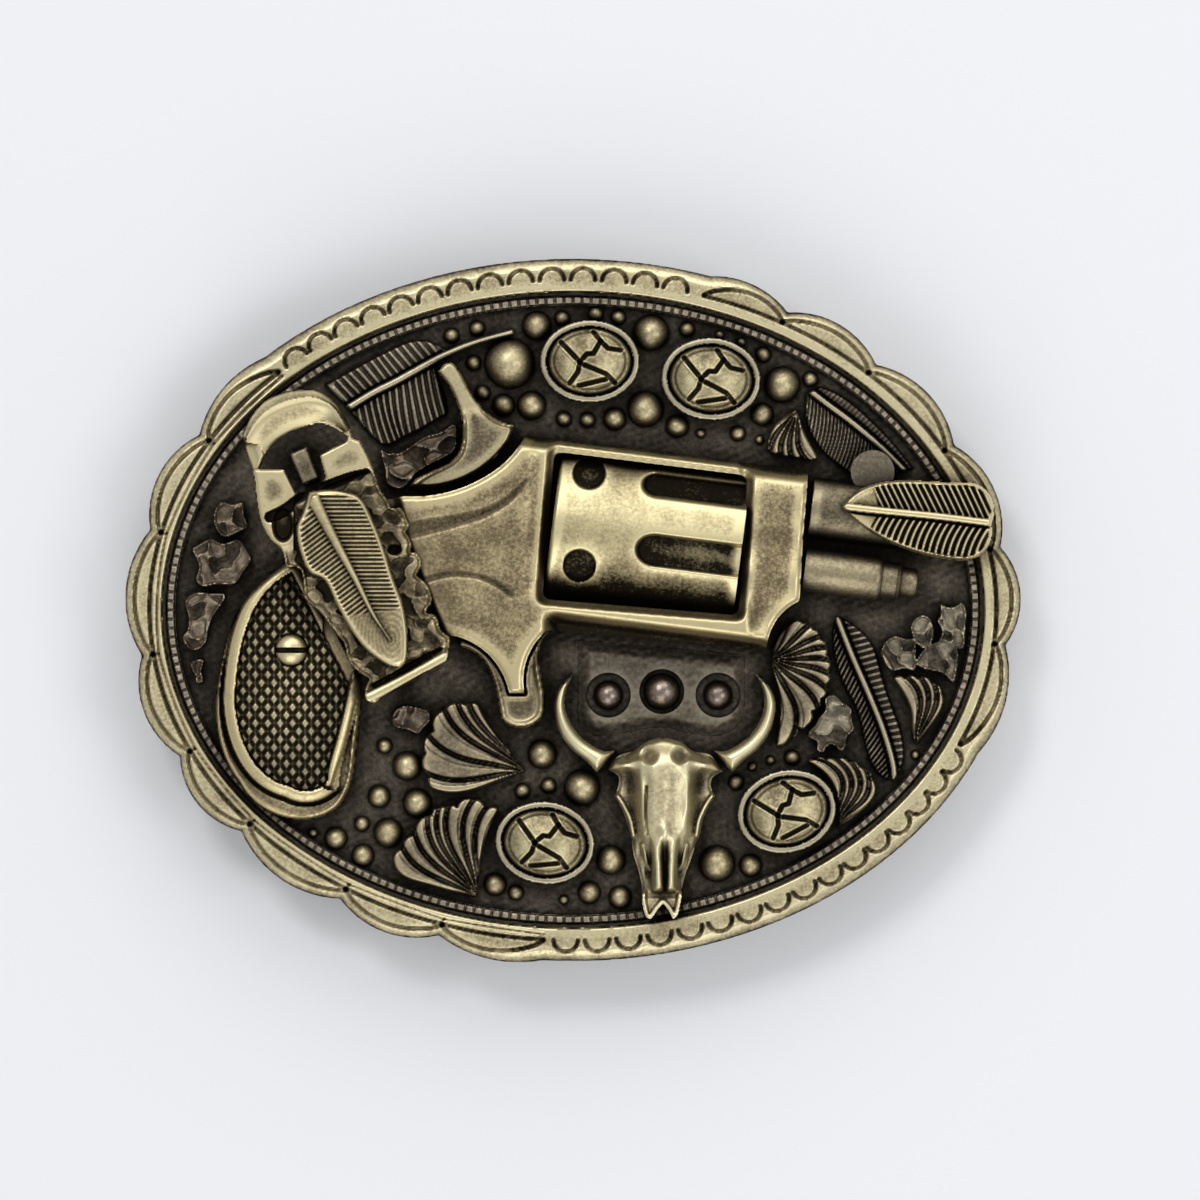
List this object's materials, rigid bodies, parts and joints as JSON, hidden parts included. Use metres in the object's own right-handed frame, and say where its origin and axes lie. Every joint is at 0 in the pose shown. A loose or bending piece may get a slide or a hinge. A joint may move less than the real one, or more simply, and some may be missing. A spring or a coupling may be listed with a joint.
{
  "type": "belt buckle",
  "caption": "Oval western belt buckle in antiqued brass: scalloped rim, beaded border, applied frontier ornaments, sprung latch, hinged belt loop and hook peg on the back.",
  "frame": {"origin": "middle of the oval's box, at the plane that the hook tip and the loop lugs rest on", "axes": "+X along the oval towards the muzzle and the belt loop, +Y across the belt, +Z out of the decorated face"},
  "size_m": [0.0988, 0.0776, 0.0175],
  "materials": {
    "antique_plate": "antiqued, pebbled field, rubbed rim",
    "antique_relief": "antiqued, dark recesses, rubbed edges",
    "antique_high_relief": "antiqued, worn bright on raised faces",
    "antique_checkering": "antiqued, checkered",
    "dark_hardware": "dark antiqued",
    "back_hardware": "antiqued, satin"
  },
  "bodies": {
    "root": {"base_plate": "antique_plate", "beaded_border": "antique_plate", "gun_frame": "antique_high_relief", "gun_drum": "antique_high_relief", "gun_barrel": "antique_high_relief", "gun_drum_pin": "antique_high_relief", "gun_hammer": "antique_high_relief", "gun_trigger": "antique_high_relief", "grip_frame": "antique_high_relief", "grip_panel": "antique_checkering", "grip_screw": "antique_high_relief", "muzzle_feather": "antique_high_relief", "latch_lug": "dark_hardware", "latch_pin": "dark_hardware", "latch_catch": "dark_hardware", "bezel_top_left": "antique_relief", "stone_top_left": "antique_relief", "bezel_top_right": "antique_relief", "stone_top_right": "antique_relief", "bezel_bottom_left": "antique_relief", "stone_bottom_left": "antique_relief", "bezel_bottom_right": "antique_relief", "stone_bottom_right": "antique_relief", "beads_top": "antique_relief", "beads_left": "antique_relief", "beads_bottom": "antique_relief", "stud_panel": "antique_relief", "studs": "antique_relief", "skull": "antique_high_relief", "horn_left": "antique_high_relief", "horn_right": "antique_high_relief", "feather_upper_left": "antique_relief", "feather_upper_right": "antique_relief", "feather_lower_right": "antique_relief", "feather_disc": "antique_relief", "rock_upper_left": "antique_relief", "nuggets_left": "antique_relief", "nuggets_right": "antique_relief", "nugget_rosette": "antique_relief", "nugget_below_latch": "antique_relief", "fan_top_right": "antique_relief", "fan_left": "antique_relief", "fan_bottom": "antique_relief", "fan_trigger_side": "antique_relief", "fan_right": "antique_relief", "fan_bottom_right": "antique_relief", "loop_lug_upper": "back_hardware", "loop_lug_lower": "back_hardware", "hook": "back_hardware"},
    "latch": {"latch_plate": "antique_high_relief", "latch_feather": "antique_high_relief"},
    "belt_loop": {"belt_loop": "back_hardware"}
  },
  "joints": [
    {"name": "belt_loop_hinge", "type": "hinge", "parent": "root", "child": "belt_loop", "pos_m": [0.02, 0, 0.0026], "axis": [0, 1, 0], "range_deg": [-14, 184]},
    {"name": "latch_hinge", "type": "hinge", "parent": "root", "child": "latch", "pos_m": [-0.019, -0.0072, 0.0122], "axis": [0.9232, 0.3843, 0], "range_deg": [0, 25], "stiffness_Nm_per_rad": 0.02, "springref_deg": -22.92}
  ]
}
